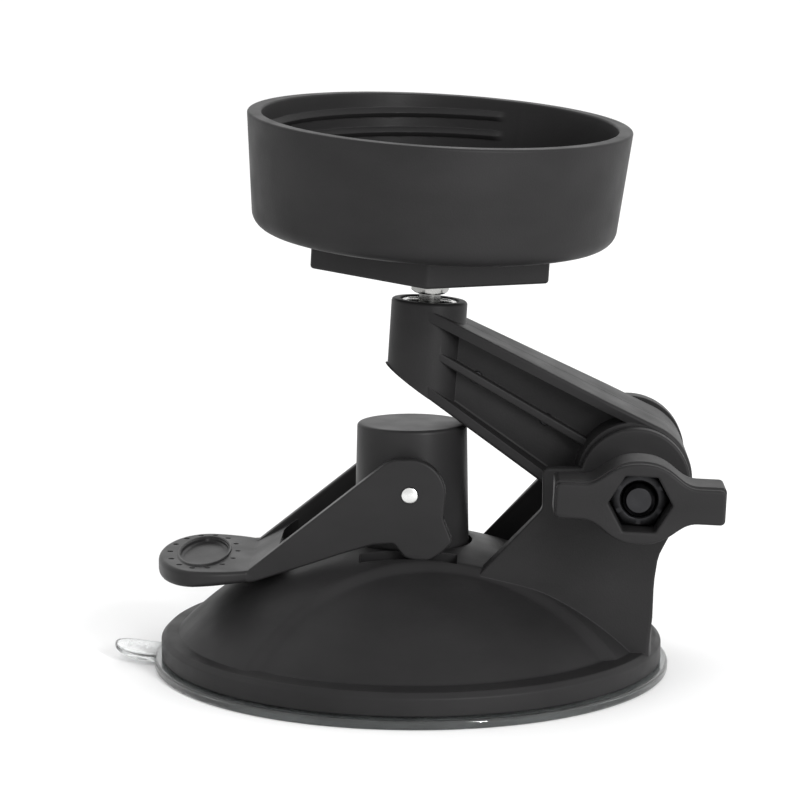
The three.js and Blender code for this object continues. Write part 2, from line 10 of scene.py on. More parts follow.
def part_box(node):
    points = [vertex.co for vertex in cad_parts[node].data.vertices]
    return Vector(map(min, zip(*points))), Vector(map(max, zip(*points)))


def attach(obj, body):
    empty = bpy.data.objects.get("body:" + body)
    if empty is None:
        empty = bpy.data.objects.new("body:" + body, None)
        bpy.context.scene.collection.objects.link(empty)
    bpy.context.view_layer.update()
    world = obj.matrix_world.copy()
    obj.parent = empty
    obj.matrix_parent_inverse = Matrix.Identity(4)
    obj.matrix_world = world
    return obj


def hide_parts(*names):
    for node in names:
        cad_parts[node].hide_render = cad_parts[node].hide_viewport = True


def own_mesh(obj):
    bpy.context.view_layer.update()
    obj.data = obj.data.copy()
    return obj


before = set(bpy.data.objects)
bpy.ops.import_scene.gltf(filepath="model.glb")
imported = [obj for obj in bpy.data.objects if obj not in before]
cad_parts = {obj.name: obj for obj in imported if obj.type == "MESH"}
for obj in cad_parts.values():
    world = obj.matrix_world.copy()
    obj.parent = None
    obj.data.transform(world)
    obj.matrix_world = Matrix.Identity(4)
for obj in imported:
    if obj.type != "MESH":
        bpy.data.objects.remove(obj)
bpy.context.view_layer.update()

# Sizes are in millimetres until a mesh is made; the frame is the CAD part's own.
MM = 0.001
PAD_RADIUS = 50.0
BAND_RADIUS = 48.6
DOME_RADIUS = 62.6
DOME_CENTRE = -36.8
DOME_EDGE = 45.2
DOME_WALL = 2.8
LEDGE_Z = 6.5
PIVOT = (42.3, 39.0)                       # clamp axis in X and Z
PIN_Z = 36.0
BALL = Vector((2.8, 0.0, 64.0))
HEAD_LEAN = (4.2, 3.1)                     # degrees about X, then about Y
SOCKET_LEAN = 3.4
KNOB_TURN = 2.2
EAR_INNER, EAR_OUTER = 14.0, 17.0
BOSS_HALF = 12.7
HALF_GAP = 0.02
WEB_HALF = 4.0
SOCKET_RADIUS = 7.3
BOSS_RADIUS = 11.0
BOLT_HOLE = 3.3
PADDLE_THICK = 3.2
DOT_COUNT = 14
LANDING_Z = 21.8
CAM_RADIUS, CAM_DROP = 13.2, 0.04          # at the cam's start, and its fall for each degree
CAM_START, CAM_END = 14, 40                # degrees from straight down


# ---------------------------------------------------------------- outlines
def rounded(points, steps=6, closed=True):
    """Corner points (x, y) or (x, y, radius): an arc of that radius replaces each such corner."""
    out = []
    count = len(points)
    for i, point in enumerate(points):
        here = Vector(point[:2])
        radius = point[2] if len(point) > 2 else 0
        if not radius or (not closed and i in (0, count - 1)):
            out.append((here.x, here.y))
            continue
        before = (Vector(points[i - 1][:2]) - here).normalized()
        after = (Vector(points[(i + 1) % count][:2]) - here).normalized()
        half = math.acos(max(-1.0, min(1.0, before.dot(after)))) / 2
        centre = here + (before + after).normalized() * (radius / math.sin(half))
        first = here + before * (radius / math.tan(half)) - centre
        last = here + after * (radius / math.tan(half)) - centre
        start = math.atan2(first.y, first.x)
        sweep = (math.atan2(last.y, last.x) - start + math.pi) % (2 * math.pi) - math.pi
        for k in range(steps + 1):
            angle = start + sweep * k / steps
            out.append((centre.x + radius * math.cos(angle), centre.y + radius * math.sin(angle)))
    return out


def arc(centre, radius, start, end, steps):
    """Points on a circle from one angle to another, in degrees."""
    angles = [math.radians(start + (end - start) * k / steps) for k in range(steps + 1)]
    return [(centre[0] + radius * math.cos(a), centre[1] + radius * math.sin(a)) for a in angles]


def between(first, last, steps):
    """Points on a straight line, the last one left out."""
    return [tuple(a + (b - a) * k / steps for a, b in zip(first, last)) for k in range(steps)]


def hexagon(flats, turn=0.0, corner=0.3):
    points = arc((0, 0), flats / 2 / math.cos(math.radians(30)), turn, turn + 300, 5)
    return rounded([(x, y, corner) for x, y in points], 3)


def circle(radius, count=48, centre=(0, 0)):
    return arc(centre, radius, 0, 360 - 360 / count, count - 1)


def touch(point, centre, radius, side):
    """The angle, in degrees, where a line from a point touches a circle."""
    dx, dz = point[0] - centre[0], point[1] - centre[1]
    return math.degrees(math.atan2(dz, dx) + side * math.acos(radius / math.hypot(dx, dz)))


# ---------------------------------------------------------------- meshes
def mesh_object(name, points, faces, matrix=None):
    mesh = bpy.data.meshes.new(name)
    mesh.from_pydata([tuple(float(c) * MM for c in p) for p in points], [], faces)
    if matrix is not None:
        placed = matrix.copy()
        placed.translation = placed.translation * MM
        mesh.transform(placed)
    mesh.update()
    piece = bpy.data.objects.new(name, mesh)
    bpy.context.scene.collection.objects.link(piece)
    tidy_normals(mesh)
    return piece


def tidy_normals(mesh):
    work = bmesh.new()
    work.from_mesh(mesh)
    bmesh.ops.remove_doubles(work, verts=work.verts, dist=1e-7)
    bmesh.ops.recalc_face_normals(work, faces=work.faces)
    work.to_mesh(mesh)
    work.free()


def revolve(name, rows, count=128, warp=None, ring=False, matrix=None):
    """A solid of revolution about Z from (radius, height) rows, which run from axis to axis
    or, for a ring, round and back to the first. warp moves the points, row by row."""
    angles = np.linspace(0, 2 * math.pi, count, endpoint=False)
    points, starts = [], []
    for index, (r, z) in enumerate(rows):
        starts.append(len(points))
        if r < 1e-6:
            points.append((0.0, 0.0, z))
            continue
        row = np.stack([r * np.cos(angles), r * np.sin(angles), np.full(count, float(z))], 1)
        if warp is not None:
            row = warp(row, angles, index)
        points.extend(map(tuple, row))
    faces = []
    pairs = [(i, i + 1) for i in range(len(rows) - 1)] + ([(len(rows) - 1, 0)] if ring else [])
    for low, high in pairs:
        a, b = starts[low], starts[high]
        for k in range(count):
            n = (k + 1) % count
            if rows[low][0] < 1e-6:
                faces.append((a, b + n, b + k))
            elif rows[high][0] < 1e-6:
                faces.append((a + k, a + n, b))
            else:
                faces.append((a + k, a + n, b + n, b + k))
    return mesh_object(name, points, faces, matrix)


def offsets(loop):
    """The outward direction at each point of a closed loop, long enough to keep edges parallel."""
    before = loop - np.roll(loop, 1, axis=0)
    after = np.roll(loop, -1, axis=0) - loop
    def normal(edge):
        length = np.maximum(np.linalg.norm(edge, axis=1, keepdims=True), 1e-9)
        return np.stack([edge[:, 1], -edge[:, 0]], 1) / length
    one, two = normal(before), normal(after)
    both = one + two
    both /= np.maximum(np.linalg.norm(both, axis=1, keepdims=True), 1e-9)
    return both / np.clip((both * one).sum(axis=1, keepdims=True), 0.6, 1.0)


def area(loop):
    x, y = loop[:, 0], loop[:, 1]
    return 0.5 * float((x * np.roll(y, -1) - np.roll(x, -1) * y).sum())


def slab(name, outline, low, high, holes=(), edge=0.4, edge_low=None, steps=3, place=None, matrix=None):
    """A flat outline given thickness, with rounded edges. place maps (u, v, w) and the inset
    of each point to where it goes."""
    edge_low = edge if edge_low is None else edge_low
    loops = []
    for i, loop in enumerate([outline, *holes]):
        loop = np.array(loop, float)
        if (area(loop) > 0) != (i == 0):
            loop = loop[::-1]
        loops.append((loop, offsets(loop)))
    turns = [math.radians(90 * k / steps) for k in range(steps + 1)]
    levels = [(edge_low * (1 - math.sin(t)), low + edge_low * (1 - math.cos(t))) for t in turns]
    levels += [(edge * (1 - math.cos(t)), high - edge * (1 - math.sin(t))) for t in turns]
    points, insets, faces = [], [], []
    size = sum(len(loop) for loop, _ in loops)
    for inset, w in levels:
        for loop, out in loops:
            points.extend((u, v, w) for u, v in loop - out * inset)
            insets.extend([inset] * len(loop))
    for level in range(len(levels) - 1):
        base = level * size
        for loop, _ in loops:
            count = len(loop)
            for k in range(count):
                n = (k + 1) % count
                faces.append((base + k, base + n, base + size + n, base + size + k))
            base += count
    for level in (0, len(levels) - 1):
        flat, base = [], level * size
        for loop, _ in loops:
            corners = (points[base + k] for k in range(len(loop)))
            flat.append([Vector((corner[0], corner[1], 0)) for corner in corners])
            base += len(loop)
        for triangle in tessellate_polygon(flat):
            faces.append(tuple(level * size + k for k in triangle))
    points = np.array(points)
    if place is not None:
        points = place(points, np.array(insets))
    return mesh_object(name, points, faces, matrix)


def upright(points, insets=None):
    """Outline in X and Z, thickness along Y."""
    return points[:, [0, 2, 1]]


def combine(piece, operation, *others):
    """Adds, cuts or keeps what is shared with other solids, which are used up."""
    for other in others:
        step = piece.modifiers.new("combine", "BOOLEAN")
        step.operation = operation
        step.solver = "MANIFOLD"
        step.object = other
        graph = bpy.context.evaluated_depsgraph_get()
        mesh = bpy.data.meshes.new_from_object(piece.evaluated_get(graph))
        piece.modifiers.clear()
        piece.data = mesh
        bpy.data.objects.remove(other)
    return piece


def mirrored(piece, name):
    """A copy on the other side of the plane between the arm's halves."""
    mesh = piece.data.copy()
    mesh.transform(Matrix.Diagonal((1, -1, 1, 1)))
    mesh.flip_normals()
    copy = bpy.data.objects.new(name, mesh)
    bpy.context.scene.collection.objects.link(copy)
    return copy


def block(name, low, high):
    x_ends, y_ends, z_ends = zip(low, high)
    corners = [(x, y, z) for x in x_ends for y in y_ends for z in z_ends]
    faces = [(0, 1, 3, 2), (4, 6, 7, 5), (0, 4, 5, 1), (2, 3, 7, 6), (0, 2, 6, 4), (1, 5, 7, 3)]
    return mesh_object(name, corners, faces)


ALONG_Y = Matrix.Rotation(math.radians(-90), 4, "X")       # a solid about Z then lies along +Y
AT_PIVOT = Matrix.Translation((PIVOT[0], 0, PIVOT[1]))


def rod_y(name, radius, low, high, x, z, count=48, edge=0.0):
    rows = [(0, low), (radius, low), (radius, high), (0, high)]
    if edge:
        inset = radius - edge
        rows[1:3] = [(inset, low), (radius, low + edge), (radius, high - edge), (inset, high)]
    return revolve(name, rows, count, matrix=Matrix.Translation((x, 0, z)) @ ALONG_Y)


def finish_shape(piece, angle=32):
    mesh = piece.data
    mesh.shade_smooth()
    mesh.set_sharp_from_angle(angle=math.radians(angle))
    weighted = piece.modifiers.new("even_shading", "WEIGHTED_NORMAL")
    weighted.keep_sharp = True
    return piece


def dress(piece, material, body, slot, *nodes):
    """Gives a finished piece its material, its body, its finish and the CAD nodes it stands for."""
    piece.data.materials.clear()
    piece.data.materials.append(material)
    finish_shape(piece)
    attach(piece, body)
    if nodes:
        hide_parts(*nodes)
    return piece


# ---------------------------------------------------------------- materials
def new_material(name):
    material = bpy.data.materials.new(name)
    material.use_nodes = True
    tree = material.node_tree
    shader = tree.nodes["Principled BSDF"]
    where = tree.nodes.new("ShaderNodeTexCoord")
    return material, tree, shader, where.outputs["Object"]


def noise(tree, where, scale, detail=3.0, stretch=None):
    source = where
    if stretch is not None:
        mapping = tree.nodes.new("ShaderNodeMapping")
        mapping.inputs["Scale"].default_value = stretch
        tree.links.new(where, mapping.inputs["Vector"])
        source = mapping.outputs["Vector"]
    node = tree.nodes.new("ShaderNodeTexNoise")
    node.inputs["Scale"].default_value = scale
    node.inputs["Detail"].default_value = detail
    tree.links.new(source, node.inputs["Vector"])
    return node.outputs["Fac"]


def spread(tree, value, low, high, from_low=0.3, from_high=0.7):
    node = tree.nodes.new("ShaderNodeMapRange")
    node.inputs["From Min"].default_value = from_low
    node.inputs["From Max"].default_value = from_high
    node.inputs["To Min"].default_value = low
    node.inputs["To Max"].default_value = high
    tree.links.new(value, node.inputs["Value"])
    return node.outputs["Result"]


def blend_colours(tree, factor, first, second):
    node = tree.nodes.new("ShaderNodeMix")
    node.data_type = "RGBA"
    tree.links.new(factor, node.inputs["Factor"])
    for socket, colour in ((node.inputs["A"], first), (node.inputs["B"], second)):
        if isinstance(colour, tuple):
            socket.default_value = (*colour, 1)
        else:
            tree.links.new(colour, socket)
    return node.outputs["Result"]


def bump(tree, height, distance, strength, below=None):
    node = tree.nodes.new("ShaderNodeBump")
    node.inputs["Distance"].default_value = distance
    node.inputs["Strength"].default_value = strength
    tree.links.new(height, node.inputs["Height"])
    if below is not None:
        tree.links.new(below, node.inputs["Normal"])
    return node.outputs["Normal"]


def soft_edges(tree, radius):
    node = tree.nodes.new("ShaderNodeBevel")
    node.samples = 4
    node.inputs["Radius"].default_value = radius
    return node.outputs["Normal"]


def moulded_plastic(name, dark, light, rough=(0.42, 0.54), grain=0.35, edge=0.00025):
    """Black moulded plastic: spark-eroded grain, faint flow marks and slightly lighter, rubbed edges."""
    material, tree, shader, where = new_material(name)
    flow = noise(tree, where, 45.0, 4.0, stretch=(1.0, 1.0, 2.2))
    fine = noise(tree, where, 2600.0, 2.0)
    colour = blend_colours(tree, spread(tree, flow, 0.0, 1.0), dark, light)
    below = soft_edges(tree, edge)
    geometry = tree.nodes.new("ShaderNodeNewGeometry")
    turned_away = tree.nodes.new("ShaderNodeVectorMath")
    turned_away.operation = "DOT_PRODUCT"
    tree.links.new(below, turned_away.inputs[0])
    tree.links.new(geometry.outputs["Normal"], turned_away.inputs[1])
    rubbed = spread(tree, turned_away.outputs["Value"], 0.5, 0.0, 0.90, 0.99)
    colour = blend_colours(tree, rubbed, colour, tuple(2.4 * c for c in light))
    tree.links.new(colour, shader.inputs["Base Color"])
    patches = noise(tree, where, 130.0, 3.0)
    tree.links.new(spread(tree, patches, *rough), shader.inputs["Roughness"])
    shader.inputs["Specular IOR Level"].default_value = 0.13
    wavy = bump(tree, flow, 0.0004, 0.12, below)
    tree.links.new(bump(tree, fine, 0.00006, grain, wavy), shader.inputs["Normal"])
    return material


def bright_metal(name, colour, rough, lines, stretch):
    """Turned or drawn metal: fine lines along one direction, faint stains."""
    material, tree, shader, where = new_material(name)
    shader.inputs["Metallic"].default_value = 1.0
    drawn = noise(tree, where, lines, 3.0, stretch=stretch)
    stain = noise(tree, where, 260.0, 4.0)
    dull = tuple(0.78 * c for c in colour)
    stained = blend_colours(tree, spread(tree, stain, 0.0, 1.0), dull, colour)
    tree.links.new(stained, shader.inputs["Base Color"])
    tree.links.new(spread(tree, drawn, rough[0], rough[1]), shader.inputs["Roughness"])
    below = soft_edges(tree, 0.00012)
    tree.links.new(bump(tree, drawn, 0.00002, 0.35, below), shader.inputs["Normal"])
    return material


def clear_gel(name):
    """Clear soft pad: a little uneven and hazy, with painted shade that makes it grey through its wide
    rim; colourless in the tab.
    """
    material, tree, shader, where = new_material(name)
    haze = noise(tree, where, 90.0, 4.0)
    cloudy = spread(tree, haze, 0.0, 1.0)
    # Painted shade: inside the pad's outer radius the clear gel is coloured grey for the shade under the
    # black housing; the tab beyond keeps the gel's colourless tone.
    rim = blend_colours(tree, cloudy, (0.40, 0.42, 0.42), (0.60, 0.62, 0.62))
    tab = blend_colours(tree, cloudy, (0.92, 0.94, 0.94), (0.97, 0.985, 0.985))
    flat = tree.nodes.new("ShaderNodeVectorMath")
    flat.operation = "MULTIPLY"
    flat.inputs[1].default_value = (1.0, 1.0, 0.0)
    tree.links.new(where, flat.inputs[0])
    reach = tree.nodes.new("ShaderNodeVectorMath")
    reach.operation = "LENGTH"
    tree.links.new(flat.outputs["Vector"], reach.inputs[0])
    outside_painted_shade = spread(tree, reach.outputs["Value"], 0.0, 1.0, PAD_RADIUS * MM, (PAD_RADIUS + 1.5) * MM)
    colour = blend_colours(tree, outside_painted_shade, rim, tab)
    tree.links.new(colour, shader.inputs["Base Color"])
    tree.links.new(spread(tree, haze, 0.04, 0.16), shader.inputs["Roughness"])
    shader.inputs["Transmission Weight"].default_value = 0.95
    shader.inputs["IOR"].default_value = 1.43
    ripple = noise(tree, where, 300.0, 2.0)
    tree.links.new(bump(tree, ripple, 0.0001, 0.15), shader.inputs["Normal"])
    return material


plastic = moulded_plastic("black_plastic", (0.0135, 0.0132, 0.0135), (0.0185, 0.018, 0.0185))
smooth_plastic = moulded_plastic("black_plastic_smooth", (0.015, 0.0147, 0.015), (0.020, 0.0195, 0.020),
                                 rough=(0.36, 0.46), grain=0.2)
nylon = moulded_plastic("nylon", (0.02, 0.02, 0.021), (0.03, 0.03, 0.031), rough=(0.5, 0.62), grain=0.15)
steel = bright_metal("steel", (0.80, 0.80, 0.79), (0.16, 0.30), 900.0, (1.0, 6.0, 1.0))
# Painted shade: a darker copy of the steel colour, 0.36 against 0.80, for the ball stud and its collar.
turned_steel_painted_shade = bright_metal("turned_steel_painted_shade", (0.36, 0.36, 0.35), (0.18, 0.34), 900.0, (1.0, 1.0, 7.0))
dark_steel = bright_metal("dark_steel", (0.036, 0.036, 0.038), (0.35, 0.55), 700.0, (1.0, 5.0, 1.0))
gel = clear_gel("clear_gel")


# ---------------------------------------------------------------- camera, floor and light
FLOOR_Z = -0.02
FLOOR_SIDES = 96


def floor_disc():
    """A wide flat disc, just under the part, from its middle outwards in three steps."""
    points, faces = [(0, 0, FLOOR_Z)], []
    for radius in (400, 1500, 6000):
        turns = np.linspace(0, 2 * math.pi, FLOOR_SIDES, endpoint=False)
        points += [(radius * math.cos(turn), radius * math.sin(turn), FLOOR_Z) for turn in turns]
    for k in range(FLOOR_SIDES):
        faces.append((0, 1 + k, 1 + (k + 1) % FLOOR_SIDES))
    for inner in (1, 1 + FLOOR_SIDES):
        outer = inner + FLOOR_SIDES
        for k in range(FLOOR_SIDES):
            n = (k + 1) % FLOOR_SIDES
            faces.append((inner + k, inner + n, outer + n, outer + k))
    return mesh_object("floor", points, faces)


def softbox(name, place, aim, size, power):
    light = bpy.data.lights.new(name, "AREA")
    light.shape = "RECTANGLE"
    light.size, light.size_y = size
    light.energy = power
    lamp = bpy.data.objects.new(name, light)
    lamp.location = place
    lamp.rotation_mode = "QUATERNION"
    lamp.rotation_quaternion = (Vector(aim) - Vector(place)).to_track_quat("-Z", "Y")
    bpy.context.scene.collection.objects.link(lamp)


def set_stage():
    floor = floor_disc()
    material, tree, shader, where = new_material("paper_floor")
    soft = noise(tree, where, 14.0, 3.0)
    paper = blend_colours(tree, soft, (0.94, 0.94, 0.94), (0.96, 0.96, 0.96))
    tree.links.new(paper, shader.inputs["Base Color"])
    shader.inputs["Roughness"].default_value = 0.7
    shader.inputs["Specular IOR Level"].default_value = 0.2
    floor.data.materials.append(material)

    world = bpy.data.worlds.new("studio")
    world.use_nodes = True
    world.node_tree.nodes["Background"].inputs["Color"].default_value = (1.0, 1.0, 1.0, 1)
    world.node_tree.nodes["Background"].inputs["Strength"].default_value = 1.08
    bpy.context.scene.world = world

    softbox("top_light", (0.1, 0.9, 0.5), (0, 0, 0.04), (1.0, 0.5), 0.5)
    softbox("strip_light", (0.53, -0.85, 0.35), (0, 0, 0.08), (0.08, 0.6), 8.0)
    softbox("side_light", (0.75, -0.1, 0.42), (0.02, 0, 0.05), (0.5, 0.5), 0.5)
    bpy.context.scene.view_settings.view_transform = "Standard"


def set_camera():
    """Long lens, about 550 mm away and 9 degrees above level."""
    turn, pan = math.radians(1.5), math.radians(-0.246)
    pitch, roll = math.radians(9.346), math.radians(0.271)
    ahead = Vector((math.sin(pan) * math.cos(pitch), math.cos(pan) * math.cos(pitch), -math.sin(pitch)))
    right = Vector((math.cos(pan), -math.sin(pan), 0))
    up = right.cross(ahead)
    side = math.cos(roll) * right + math.sin(roll) * up
    top = -math.sin(roll) * right + math.cos(roll) * up
    axes = Matrix((side, top, -ahead)).transposed()
    spin = Matrix.Rotation(turn, 3, "Z")
    camera = bpy.data.objects.new("camera", bpy.data.cameras.new("camera"))
    camera.data.sensor_width = 36.0
    camera.data.lens = 36.0 * 2900 / 800
    stand = Matrix.Translation(spin @ Vector((0, -0.55188, 0.14253)))
    camera.matrix_world = stand @ (spin @ axes).to_4x4()
    bpy.context.scene.collection.objects.link(camera)
    bpy.context.scene.camera = camera


# ---------------------------------------------------------------- base
def dome_height(radius, offset=0.0):
    return DOME_CENTRE + math.sqrt((DOME_RADIUS - offset) ** 2 - radius * radius)


def pad_rim():
    """The pad's flat sealing ring with its rounded edge and the pull tab."""
    rows = rounded([(36.5, 0.9), (39, 0.0, 0.5), (PAD_RADIUS, 0.0, 0.5), (PAD_RADIUS, 1.75, 0.6),
                    (43, 1.75, 0.4), (40, 2.2, 0.5), (36.5, 2.9)], 5)
    rim = revolve("suction_pad_rim", rows, 224, ring=True)
    tip = -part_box("suction_pad")[0].x / MM
    outline = [(-47.5, 6), (-47.5, -6), *arc((-tip + 6, 0), 6, 270, 90, 20)]

    def bend(points, insets):
        out = points.copy()
        share = np.clip((-points[:, 0] - 48.0) / (tip - 48.0), 0, 1)
        out[:, 2] += 0.35 + 1.9 * share ** 1.6
        return out

    tab = slab("tab", outline, 0.0, 1.15, edge=0.35, place=bend)
    ribs = []
    for k in range(3):
        left, right = -tip + 2.6 + 1.5 * k, -tip + 3.2 + 1.5 * k
        bar = rounded([(left, -2.6, 0.3), (right, -2.6, 0.3), (right, 2.6, 0.3), (left, 2.6, 0.3)], 3)
        ribs.append(slab("grip", bar, 0.9, 1.4, edge=0.15, place=bend))
    combine(rim, "UNION", tab, *ribs)
    return dress(rim, gel, "base", "clear_pad")


def pad_middle():
    """The dished middle of the pad, which the plunger lifts."""
    below = [(0, 3.2), (14, 3.2, 2.0), (20, 2.75, 2.0), (28, 1.75, 2.0), (36.3, 0.95)]
    above = [(36.3, 2.85), (28, 4.0, 2.0), (20, 5.05, 2.0), (15, 5.5, 2.0), (0, 5.5)]
    middle = revolve("suction_pad_middle", rounded(below + above, 4, closed=False), 128)
    dress(middle, gel, "base", "clear_pad", "suction_pad")
    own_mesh(middle)
    return middle


def panel_sink(points, angles, index):
    """The two side panels lie below the dome, inside wide arcs, behind a sloping border."""
    x, y, z = points[:, 0], points[:, 1], points[:, 2]
    inside = 56.0 - np.hypot(x - 12.0, np.abs(y) - 71.5)
    share = np.clip(inside / 2.3, 0, 1)
    share = share * 0.7 + 0.3 * share * share * (3 - 2 * share)
    scale = 1 - 1.2 * share / DOME_RADIUS
    out = points.copy()
    out[:, 0] = x * scale
    out[:, 1] = y * scale
    out[:, 2] = np.maximum((z - DOME_CENTRE) * scale + DOME_CENTRE, LEDGE_Z)
    return out


def housing_shell():
    outer_radii = np.linspace(12.4, DOME_EDGE, 110)
    inner = [(r, dome_height(r, DOME_WALL)) for r in np.linspace(43.4, 14.6, 18)]
    rows = [(11.6, 13.0), (11.6, dome_height(12.4) - 0.7), (11.8, dome_height(12.4) - 0.15)]
    first = len(rows)
    rows += [(r, dome_height(r)) for r in outer_radii]
    last = len(rows)
    rows += rounded([(DOME_EDGE + 0.4, LEDGE_Z), (47.6, LEDGE_Z - 0.1, 0.5), (BAND_RADIUS, 5.4, 0.5),
                     (BAND_RADIUS, 2.05, 0.3), (45.4, 2.05, 0.2), (45.4, 4.2, 1.0), inner[0]],
                    4, closed=False)[:-1]
    rows += inner + [(13.6, dome_height(13.6, DOME_WALL)), (13.6, 13.0)]

    def warp(points, angles, index):
        return panel_sink(points, angles, index) if first <= index < last else points

    return revolve("base_housing_shell", rows, 360, warp=warp, ring=True)


def envelope(z):
    """The radius that the bracket keeps inside at each height."""
    return np.interp(z, [0, 8, 14, 20, 25, 33, 38], [48.4, 48.4, 49.0, 49.3, 51.0, 57.0, 64.0])


def keep_in_base(points, insets):
    """Brings the bracket's ears inside the round envelope, and ends them just under the dome's skin."""
    out = upright(points)
    reach = np.sqrt(envelope(out[:, 2]) ** 2 - out[:, 1] ** 2) - insets
    out[:, 0] = np.minimum(out[:, 0], reach)
    radius = np.hypot(out[:, 0], out[:, 1])
    skin = DOME_CENTRE + np.sqrt(np.maximum((DOME_RADIUS - 1.6) ** 2 - radius ** 2, 0))
    out[:, 2] = np.maximum(out[:, 2], np.where(radius < DOME_EDGE, np.maximum(skin, 4.6), 4.6))
    return out


def ear_outline(top_radius):
    px, pz = PIVOT
    shoulder = math.degrees(math.asin((41.8 - pz) / top_radius))
    outline = between((12.6, 3.0), (12.6, 19.2), 3)
    outline += rounded([(12.6, 19.2), (25.0, 34.0, 2.0), (25.0, 41.8, 1.2), (26.5, 41.8)], 6,
                       closed=False)
    outline += arc(PIVOT, top_radius, 180 - shoulder, 0, 40)
    back = [(px + top_radius, pz), (51.2, 33), (48.6, 28.4), (46.9, 25), (46.2, 20), (46, 12), (46, 3)]
    for start, end in zip(back, back[1:]):
        outline += between(start, end, 6)[1:]
    outline += between((46, 3), (12.6, 3), 24)
    return outline


def base_housing():
    shell = housing_shell()
    landings = [block("landing", (-9.5, low, LANDING_Z), (9, low + 3.8, 40)) for low in (-15.8, 12.0)]
    combine(shell, "DIFFERENCE", *landings)
    near = slab("ear_near", ear_outline(10.4), -EAR_OUTER, -EAR_INNER, edge=0.5, place=keep_in_base)
    far = slab("ear_far", ear_outline(10.4), EAR_INNER, EAR_OUTER, edge=0.5, place=keep_in_base)

    def curl(points, insets):
        angle = points[:, 0] / 47.0
        return np.stack([points[:, 2] * np.cos(angle), points[:, 2] * np.sin(angle), points[:, 1]], 1)

    sheet = [*between((-16.3, 4.6), (16.3, 4.6), 24), *between((16.3, 4.6), (16.3, 21), 8),
             *between((16.3, 21), (-16.3, 21), 24), *between((-16.3, 21), (-16.3, 4.6), 8)]
    web = slab("web", sheet, 45.0, 47.4, edge=0.5, place=curl)
    boss_outline = circle(11.3, 96)
    boss_far = slab("boss_far", boss_outline, EAR_OUTER - 0.4, 21.0, edge=0.6, edge_low=0.05,
                    place=lambda p, i: upright(p), matrix=AT_PIVOT)
    combine(shell, "UNION", near, far, web, boss_far)
    bolt_hole = rod_y("bolt_hole", BOLT_HOLE, -30, 30, *PIVOT)
    head_hole = slab("head_hole", hexagon(10.6, 30), 17.0, 30.0, edge=0.01,
                     place=lambda p, i: upright(p), matrix=AT_PIVOT)
    combine(shell, "DIFFERENCE", bolt_hole, head_hole)
    shell.name = "base_housing_shell"
    return dress(shell, plastic, "base", "black_plastic", "base_housing")


# ---------------------------------------------------------------- plunger and lever
def plunger_column():
    rows = [(0, 41.3), (5.3, 41.3), (5.3, 14.5), (10.8, 14.5), (11.2, 14.9), (11.2, 21.0), (11.05, 27.0),
            (10.85, 36.0), *rounded([(10.85, 36.0), (10.6, 47.4, 0.7), (9.0, 47.4)], 5, closed=False)[1:],
            (8.6, 47.36), (0, 47.3)]
    column = revolve("plunger_column_body", rows, 160)
    combine(column, "DIFFERENCE", rod_y("pin_bore", 1.9, -20, 20, 0, PIN_Z))
    return dress(column, smooth_plastic, "plunger", "black_plastic", "plunger_column")


def cheek_outline():
    """One cheek of the fork, with the cam below the pin and a round crown above it."""
    cam = []
    for turn in range(CAM_START, CAM_END + 1, 2):
        radius = CAM_RADIUS - CAM_DROP * (turn - CAM_START)
        cam.append((radius * math.sin(math.radians(turn)), PIN_Z - radius * math.cos(math.radians(turn))))
    low = rounded([(-30.7, 21.1), (-36.5, 20.7, 0.5), (-36.5, 18.9, 0.5), (-29.8, 18.8, 6),
                   (-19.2, 22.3, 9), (-13.2, 24.4, 6), (-7.0, 26.3, 2), (-3.0, 26.6, 1.2),
                   (-0.9, 24.0, 1.2), (1.4, 23.2, 1), cam[0]], 5, closed=False)
    back = rounded([cam[-1], (8.0, 27.4, 1.2), (6.4, 31.5, 2.0), (6.6, 34.2)], 5, closed=False)
    crown = arc((0, PIN_Z), 6.8, 0, 98, 24)
    front = rounded([crown[-1], (-3.6, 42.8, 5), (-30.7, 21.1)], 5, closed=False)
    return low[:-1] + cam + back[1:] + crown + front[1:-1]


def paddle_outline():
    turns = [math.radians(a) for a in range(90, 271, 4)]
    tip = [(-40 + 9.1 * math.cos(turn), 18 * math.sin(turn)) for turn in turns]
    near = [(-40 + 9.5 * t, -18 + 2.7 * t * t) for t in np.linspace(0.08, 1, 14)]
    return tip + near + [(x, -y) for x, y in reversed(near)]


def thin_to_tip(points, insets):
    """The paddle's flat top falls a little towards the fork, while its flat underside rises."""
    out = points.copy()
    low = 17.7 + 0.06 * (points[:, 0] + 49)
    top = 21.0 + 0.03 * (-31 - points[:, 0])
    out[:, 2] = low + (top - low) * points[:, 2] / PADDLE_THICK
    return out


def paddle_ramp():
    """The slope that joins the paddle to the fork, with the fork's rounded gap cut into it."""
    profile = [(-33, 18.4), (-33, 20.9), (-30.7, 21.0), (-21.5, 26.3), (-21.5, 23.6), (-26, 20.8),
               (-29.8, 18.85)]
    ramp = slab("ramp", profile, -12.6, 12.6, edge=0.01, place=upright)
    gap = rounded([(-10, -13.0), (-25.4, -13.0, 5.0), (-25.4, 13.0, 5.0), (-10, 13.0)], 12)
    return combine(ramp, "DIFFERENCE", slab("fork_gap", gap, 10, 40, edge=0.01))


